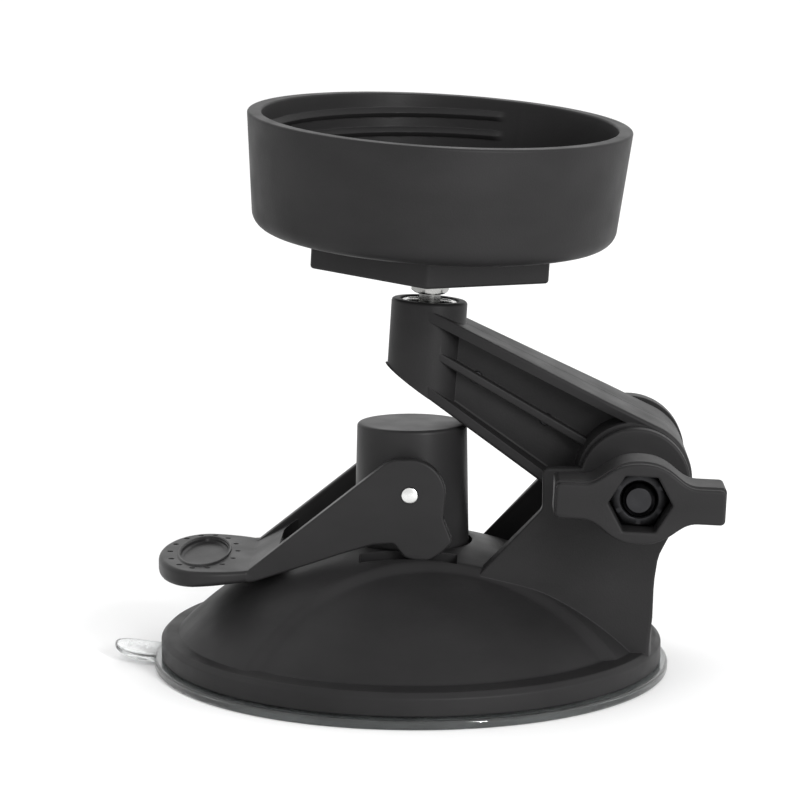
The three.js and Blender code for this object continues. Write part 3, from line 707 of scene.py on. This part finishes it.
def thumb_dish(shape):
    """A shallow oval dish with a low lip, in a ring of small round dots."""
    oval = Matrix.Translation((-40.4, 0.6, 21.28)) @ Matrix.Diagonal((4.7, 12.4, 1, 1))
    dish_rows = [(0, -0.85), (0.88, -0.85), (0.96, -0.55), (1.0, 1.0), (0, 1.0)]
    lip_rows = [(1.0, -0.5), (1.0, 0.2), (1.02, 0.34), (1.05, 0.40), (1.08, 0.32), (1.095, 0.1),
                (1.095, -0.5)]
    lip = revolve("lip", lip_rows, 96, ring=True, matrix=oval)
    combine(shape, "DIFFERENCE", revolve("dish", dish_rows, 96, matrix=oval))
    combine(shape, "UNION", lip)
    dots = []
    for k in range(DOT_COUNT):
        turn = math.radians(5.5 + 360 * k / DOT_COUNT)
        spot = Matrix.Translation((-40.5 + 6.5 * math.cos(turn), 0.8 + 15.2 * math.sin(turn), 21.3))
        dot_rows = [(0, -0.5), (0.4, -0.45), (0.58, -0.2), (0.62, 0.6), (0, 0.6)]
        dots.append(revolve("dot", dot_rows, 20, matrix=spot))
    combine(shape, "DIFFERENCE", *dots)


def lever():
    shape = slab("lever_body_shape", paddle_outline(), 0.0, PADDLE_THICK, edge=0.9, edge_low=1.1,
                 steps=5, place=thin_to_tip)
    near = slab("cheek_near", cheek_outline(), -15.4, -12.4, edge=0.45, place=upright)
    far = slab("cheek_far", cheek_outline(), 12.4, 15.4, edge=0.45, place=upright)
    combine(shape, "UNION", near, far, paddle_ramp())
    thumb_dish(shape)
    combine(shape, "DIFFERENCE", rod_y("pin_hole", 1.62, -20, 20, 0, PIN_Z))
    shape.name = "lever_shape"
    return dress(shape, smooth_plastic, "lever_body", "black_plastic", "lever")


def lever_pin():
    end = [(1.6, 15.5), (1.5, 15.78), (1.25, 15.9), (0, 15.9)]
    rows = [(r, -y) for r, y in reversed(end)] + end
    pin = revolve("lever_pin_rod", rows, 48, matrix=Matrix.Translation((0, 0, PIN_Z)) @ ALONG_Y)
    return dress(pin, steel, "plunger", "steel", "lever_pin")


# ---------------------------------------------------------------- arm
TOP_START, LOW_START = (2.8, 70.4), (2.8, 53.4)
LOW_SLOPE = 0.7117                         # fall of the arm's lower line for each mm along X


def arm_outline(inset):
    radius = BOSS_RADIUS - inset
    top_start = (TOP_START[0], TOP_START[1] - inset * 1.1)
    low_start = (LOW_START[0], LOW_START[1] + inset * 1.2)
    top = touch(top_start, PIVOT, radius, -1)
    low = touch(low_start, PIVOT, radius, 1) - 360
    around = arc(PIVOT, radius, top, low, 36)
    end, upper = between(low_start, top_start, 6), between(top_start, around[0], 24)
    return end + upper + around + between(around[-1], low_start, 24)[1:]


def half_width(x):
    share = np.clip((x - BALL.x) / (PIVOT[0] - 4 - BALL.x), 0, 1)
    return SOCKET_RADIUS + (BOSS_HALF - SOCKET_RADIUS) * share


def taper(points, insets):
    """Outline in X and Z; the thickness grows from the seam to the arm's tapering side."""
    out = upright(points)
    share = (points[:, 2] - HALF_GAP) / (BOSS_HALF - HALF_GAP)
    out[:, 1] = -(HALF_GAP + share * (half_width(out[:, 0]) - HALF_GAP))
    return out


def socket_frame():
    return Matrix.Translation(BALL) @ Matrix.Rotation(math.radians(SOCKET_LEAN), 4, "Y")


def socket_tube():
    """The socket's outside; its lower end is cut along the arm's lower line."""
    side = between((SOCKET_RADIUS, -12.0), (SOCKET_RADIUS, -3.0), 18)
    mouth = rounded([(SOCKET_RADIUS, 2.0), (SOCKET_RADIUS, 7.4, 0.6), (5.0, 7.4)], 4, closed=False)
    rows = [(0, -12), *side, (SOCKET_RADIUS, 2.0), *mouth[1:], (0, 7.4)]
    tube = revolve("tube", rows, 128, matrix=socket_frame())
    for vertex in tube.data.vertices:
        line = (LOW_START[1] - LOW_SLOPE * (vertex.co.x / MM - LOW_START[0])) * MM
        depth = (line - vertex.co.z) / MM
        if depth > -1.5:
            vertex.co.z += MM * (depth + 1.5) ** 2 / 6.0 if depth < 1.5 else MM * depth
    return tube


def rib_outline():
    start, end = Vector((BALL.x, BALL.z - 1.4)), Vector((PIVOT[0] - 6, PIVOT[1] + 4.1))
    along = (end - start).normalized()
    side = Vector((-along.y, along.x)) * 0.8
    return [tuple(start - side), tuple(end - side), tuple(end + side), tuple(start + side)]


def screw_spots():
    """Two places along the rib's middle line, in X and Z."""
    run, rise = PIVOT[0] - BALL.x, PIVOT[1] - BALL.z + 1.4
    return [(BALL.x + run * share, BALL.z - 1.4 + rise * share) for share in (0.24, 0.58)]


def cross_slots(long, half, seat, matrix):
    """The two slots of a screw's cross recess, given by half their length and half their width."""
    slots = []
    for a, b in ((long, half), (half, long)):
        outline = [(-a, -b), (a, -b), (a, b), (-a, b)]
        slots.append(slab("slot", outline, seat + 0.9, seat + 4, edge=0.02, matrix=matrix))
    return slots


def half_arm(name, far):
    beam = slab(name, arm_outline(0), HALF_GAP, BOSS_HALF, edge=0.7, edge_low=0.12, place=taper)
    pocket = slab("pocket", arm_outline(2.0), -30.0, -WEB_HALF, edge=0.5, edge_low=0.05, place=upright)
    combine(beam, "DIFFERENCE", pocket)
    rib = slab("rib", rib_outline(), -6.8, -2.0, edge=0.05, edge_low=0.35, place=upright)
    hub_rows = [(0, -BOSS_HALF), (10.3, -BOSS_HALF), (10.8, -BOSS_HALF + 0.2),
                (BOSS_RADIUS, -BOSS_HALF + 0.7), (BOSS_RADIUS, -HALF_GAP), (0, -HALF_GAP)]
    hub = revolve("hub", hub_rows, 96, matrix=AT_PIVOT @ ALONG_Y)
    tube = socket_tube()
    combine(tube, "DIFFERENCE", block("other_side", (-40, -HALF_GAP, 0), (60, 40, 120)))
    combine(beam, "UNION", rib, hub, tube)
    rows = [(0, -5.6), *arc((0, 0), 5.6, -80, 36.5, 13), (4.5, 6.0), (5.6, 6.0), (5.6, 7.1),
            (6.1, 8.4), (0, 8.4)]
    cavity = revolve("cavity", rows, 64, matrix=socket_frame())
    bolt_hole = rod_y("bolt_hole", BOLT_HOLE, -30, 30, *PIVOT)
    combine(beam, "DIFFERENCE", cavity, bolt_hole)
    if not far:
        return beam
    other = mirrored(beam, name)
    bpy.data.objects.remove(beam)
    bosses, bores, seats = [], [], []
    for x, z in screw_spots():
        top = float(half_width(x)) - 1.0
        bosses.append(rod_y("boss", 3.9, 2.0, top, x, z, 48, 0.3))
        bores.append(rod_y("bore", 1.6, -1, 30, x, z, 24))
        seats.append(rod_y("seat", 3.1, top - 2.2, 30, x, z, 32))
    combine(other, "UNION", *bosses)
    combine(other, "DIFFERENCE", *bores, *seats)
    other.name = name
    return other


def arm():
    near = half_arm("arm_near", False)
    dress(near, plastic, "arm", "black_plastic", "arm_near_half")
    far = half_arm("arm_far", True)
    dress(far, plastic, "arm", "black_plastic", "arm_far_half")
    for i, (x, z) in enumerate(screw_spots()):
        seat = float(half_width(x)) - 3.2 + 0.3
        place = Matrix.Translation((x, 0, z)) @ ALONG_Y
        rows = [(0, -4.6), (1.1, -4.4), (1.3, -3.9), (1.3, seat), (2.8, seat), (2.8, seat + 1.0),
                (2.3, seat + 1.6), (1.2, seat + 1.8), (0, seat + 1.8)]
        screw = revolve(f"arm_screw_{i + 1}_head", rows, 40, matrix=place)
        combine(screw, "DIFFERENCE", *cross_slots(1.6, 0.35, seat, place))
        dress(screw, dark_steel, "arm", "dark_steel", f"arm_screw_{i + 1}")
    rows = rounded([(4.4, 6.15, 0.15), (5.3, 6.15, 0.1), (5.3, 7.15, 0.15), (4.4, 7.15, 0.3)], 4)
    ring = revolve("socket_ring_band", rows, 96, ring=True, matrix=socket_frame())
    dress(ring, steel, "arm", "steel", "socket_ring")


# ---------------------------------------------------------------- clamp
def screw_thread(radius, pitch, depth):
    """Moves rows in and out so that they form a helical thread."""
    def warp(points, angles, index):
        z = points[:, 2]
        phase = (z / pitch - angles / (2 * math.pi)) % 1.0
        height = 1 - 2 * np.abs(phase - 0.5)
        scale = 1 - depth * (1 - height) / radius
        out = points.copy()
        out[:, 0] *= scale
        out[:, 1] *= scale
        return out
    return warp


def threaded_rod(name, radius, low, high, pitch, depth, matrix, chamfer=0.6, count=48):
    levels = np.arange(low + chamfer, high - chamfer, pitch / 6)
    rows = [(0, low), (radius - chamfer, low), *[(radius, z) for z in levels], (radius - chamfer, high),
            (0, high)]
    return revolve(name, rows, count, warp=screw_thread(radius, pitch, depth), matrix=matrix)


def hex_part(name, flats, low, high, bore, matrix, turn=0.0, chamfer=0.35):
    """A hexagonal nut, head or collar whose corners are turned off at both ends."""
    corner = flats / 2 / math.cos(math.radians(30))
    mid = flats / 2

    def warp(points, angles, index):
        wedge = (angles - math.radians(turn)) % (math.pi / 3) - math.pi / 6
        limit = mid / np.cos(wedge)
        radius = np.hypot(points[:, 0], points[:, 1])
        scale = np.minimum(radius, limit) / radius
        out = points.copy()
        out[:, 0] *= scale
        out[:, 1] *= scale
        return out

    rise = chamfer * 1.3
    rows = [(mid - 0.15, low), (corner, low + rise), (corner, high - rise), (mid - 0.15, high)]
    steps = []
    for (r0, z0), (r1, z1) in zip(rows, rows[1:]):
        steps += [(r0 + (r1 - r0) * k / 4, z0 + (z1 - z0) * k / 4) for k in range(4)]
    steps.append(rows[-1])
    if bore:
        steps = [(bore, low + 0.3), (bore + 0.3, low), *steps, (bore + 0.3, high), (bore, high - 0.3)]
        return revolve(name, steps, 96, warp=warp, ring=True, matrix=matrix)
    return revolve(name, [(0, low), *steps, (0, high)], 96, warp=warp, matrix=matrix)


def flat_washer(name, radii, heights, edges, count, matrix):
    """A flat ring: inner and outer radius, lower and upper height, lower and upper outer edge."""
    (bore, rim), (low, high), (edge_low, edge_high) = radii, heights, edges
    rows = rounded([(bore, low, 0.1), (rim, low, edge_low), (rim, high, edge_high), (bore, high, 0.1)], 3)
    return revolve(name, rows, count, ring=True, matrix=matrix)


def knob_outline(grow=0.0):
    long, half, hub = 15.6 + grow, 3.5 + grow, 7.7 + grow
    quarter = [(10.6, half)]
    for t in np.linspace(0.06, 1, 16):
        a = (1 - t) ** 3
        b, c, d = 3 * (1 - t) ** 2 * t, 3 * (1 - t) * t ** 2, t ** 3
        quarter.append((10.6 * a + 6.6 * b + 6.2 * c, half * a + half * b + hub * c + hub * d))
    corner = rounded([(long, 0), (long, half, 0.9), (10.6, half)], 5, closed=False)[1:-1]
    right_top = corner + quarter
    left_top = [(-x, y) for x, y in reversed(right_top[:-1])]
    top = right_top + left_top
    return top + [(-x, -y) for x, y in top]


def wing_knob():
    place = AT_PIVOT @ Matrix.Rotation(math.radians(KNOB_TURN), 4, "Y")
    pocket = hexagon(10.1, 0, 0.35)
    front = slab("wing_knob_shape", knob_outline(-0.3), -37.0, -35.3, holes=[pocket], edge=0.05,
                 edge_low=0.45, place=upright, matrix=place)
    body = slab("knob_body", knob_outline(), -35.35, -26.4, holes=[pocket], edge=0.6, edge_low=0.25,
                place=upright, matrix=place)
    floor = slab("knob_floor", circle(7.0, 64), -27.5, -26.5, holes=[circle(BOLT_HOLE, 40)], edge=0.02,
                 place=upright, matrix=place)
    neck_rows = [(BOLT_HOLE, -26.6), (6.6, -26.6), (6.15, -25.9), (6.0, -25.0), (6.0, -19.2),
                 (5.7, -18.6), (BOLT_HOLE, -18.6)]
    neck = revolve("knob_neck", neck_rows, 72, ring=True, matrix=place @ ALONG_Y)
    combine(front, "UNION", body, floor, neck)
    front.name = "wing_knob_shape"
    dress(front, plastic, "knob", "black_plastic", "wing_knob")
    nut = hex_part("knob_nut_hex", 9.5, -32.0, -27.8, BOLT_HOLE, place @ ALONG_Y, turn=0.0)
    dress(nut, dark_steel, "knob", "dark_steel", "knob_nut")


def clamp_bolt():
    place = AT_PIVOT @ ALONG_Y
    shank = threaded_rod("clamp_bolt_rod", 3.0, -33.0, 17.6, 1.0, 0.32, place)
    head = hex_part("bolt_head", 10.0, 17.3, 20.9, 0, place, turn=30.0)
    combine(shank, "UNION", head)
    shank.name = "clamp_bolt_rod"
    dress(shank, dark_steel, "base", "dark_steel", "clamp_bolt")
    low, high = -EAR_OUTER - 1.3, -EAR_OUTER - 0.3
    washer = flat_washer("knob_washer_disc", (BOLT_HOLE, 6.0), (low, high), (0.25, 0.25), 72, place)
    dress(washer, steel, "base", "steel", "knob_washer")


# ---------------------------------------------------------------- head
def head_frame():
    about_x, about_y = (math.radians(angle) for angle in HEAD_LEAN)
    lean = Matrix.Rotation(about_x, 4, "X") @ Matrix.Rotation(about_y, 4, "Y")
    return Matrix.Translation(BALL) @ lean


def ball_stud(place):
    rows = [(0, -4.7), *arc((0, 0), 4.7, -84, 62, 26), (2.1, 4.6), (2.1, 8.9)]
    thread = [(2.1, z) for z in np.arange(14.4, 27.6, 0.8 / 6)]
    count = len(rows)
    twist = screw_thread(2.1, 0.8, 0.25)

    def warp(points, angles, index):
        return twist(points, angles, index) if index > count else points

    rows += [(2.1, 14.2), *thread, (1.6, 28.2), (0, 28.2)]
    stud = revolve("ball_stud_rod", rows, 64, warp=warp, matrix=place)
    dress(stud, turned_steel_painted_shade, "head", "steel", "ball_stud")
    collar = hex_part("stud_collar_hex", 6.4, 8.9, 14.1, 2.4, place, turn=10.0)
    dress(collar, turned_steel_painted_shade, "head", "steel", "stud_collar")
    nut = hex_part("stud_nut_hex", 7.0, 24.3, 27.5, 2.4, place, turn=15.0)
    dress(nut, steel, "head", "steel", "stud_nut")
    washer = flat_washer("stud_washer_disc", (2.4, 5.4), (23.0, 24.0), (0.2, 0.25), 64, place)
    dress(washer, steel, "head", "steel", "stud_washer")


def screw_centres():
    turns = [math.radians(90 + 120 * k) for k in range(3)]
    return [(17 * math.cos(turn), 17 * math.sin(turn)) for turn in turns]


def mount_plate(place):
    outline = hexagon(2 * 25.75 * math.cos(math.radians(30)), 29, 1.0)
    holes = [circle(2.4, 32)] + [circle(1.6, 24, centre) for centre in screw_centres()]
    plate = slab("mount_plate_body", outline, 14.4, 19.9, holes=holes, edge=0.35, edge_low=0.6,
                 matrix=place)
    return dress(plate, plastic, "head", "black_plastic", "mount_plate")


THREAD_SPANS = ((68.5, 168.0), (248.5, 348.0))


def cup_wall(points, angles, index, thread_rows):
    """Two short turns of rounded thread stand in from the cup's wall, and a faint parting line."""
    if index not in thread_rows:
        return points
    z = points[:, 2]
    turn = np.degrees(angles)
    rise = np.zeros_like(z)
    for start, end in THREAD_SPANS:
        share = (turn - start) / (end - start)
        inside = np.clip(np.minimum(share, 1 - share) * 45, 0, 1)
        for top in (38.95, 35.15):
            middle = top - 1.2 * np.clip(share, 0, 1)
            rise = np.maximum(rise, inside * np.clip(1 - np.abs(z - middle) / 0.95, 0, 1) ** 0.7)
    for line in (62.0, 242.0):
        rise = np.maximum(rise, 0.12 * np.clip(1 - np.abs(turn - line) / 0.5, 0, 1))
    radius = np.hypot(points[:, 0], points[:, 1])
    scale = 1 - 0.85 * rise / radius
    out = points.copy()
    out[:, 0] *= scale
    out[:, 1] *= scale
    return out


def holder_cup(place):
    foot, top, low, high, wall = 34.8, 36.5, 20.2, 42.2, 2.7
    rows = [(2.4, 22.7), (2.4, low + 0.2), (2.6, low), (20, low)]
    rows += rounded([(20, low), (foot - 0.15, low, 3.4), (foot, low + 3.5), (top, high, 0.45),
                     (top - wall, high, 0.45), (33.65, 40.9)], 8, closed=False)[1:]
    first = len(rows) - 1
    inner = between((33.65, 40.9), (32.2, 25.4), 120)[1:]
    rows += inner
    thread_rows = range(first, len(rows))
    rows += rounded([(32.2, 25.4), (32.0, 22.7, 2.2), (20, 22.7)], 6, closed=False)[1:]
    rows += [(6.5, 22.7), (6.2, 22.7)]

    def warp(points, angles, index):
        return cup_wall(points, angles, index, thread_rows)

    cup = revolve("holder_cup_body", rows, 360, warp=warp, ring=True, matrix=place)
    drills = []
    for x, y in screw_centres():
        here = place @ Matrix.Translation((x, y, 0))
        drills.append(revolve("drill", [(0, 19), (1.6, 19), (1.6, 24), (0, 24)], 24, matrix=here))
    combine(cup, "DIFFERENCE", *drills)
    cup.name = "holder_cup_body"
    return dress(cup, plastic, "head", "black_plastic", "holder_cup")


def cup_screws(place):
    for i, (x, y) in enumerate(screw_centres()):
        here = place @ Matrix.Translation((x, y, 0))
        seat = 23.0
        crown = rounded([(3.0, seat), (3.0, seat + 1.8, 1.3), (0, seat + 1.8)], 6, closed=False)
        rows = [(0, 15.4), (0.9, 15.6), (1.3, 16.4), (1.3, seat), *crown]
        screw = revolve(f"cup_screw_{i + 1}_head", rows, 48, matrix=here)
        combine(screw, "DIFFERENCE", *cross_slots(1.7, 0.4, seat, here))
        dress(screw, steel, "head", "steel", f"cup_screw_{i + 1}")


def carry_nodes():
    """Hidden CAD nodes whose shape is right keep it, and get a finished material."""
    finishes = {"pad_core": nylon, "ball_seat_lower": nylon, "ball_seat_upper": nylon,
                "friction_disc_near": nylon, "friction_disc_far": nylon, "return_spring": steel}
    for name, material in finishes.items():
        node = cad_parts[name]
        node.data.materials.clear()
        node.data.materials.append(material)


set_camera()
set_stage()
place = head_frame()
pad_rim()
pad_middle()
base_housing()
plunger_column()
lever()
lever_pin()
arm()
wing_knob()
clamp_bolt()
ball_stud(place)
mount_plate(place)
holder_cup(place)
cup_screws(place)
carry_nodes()
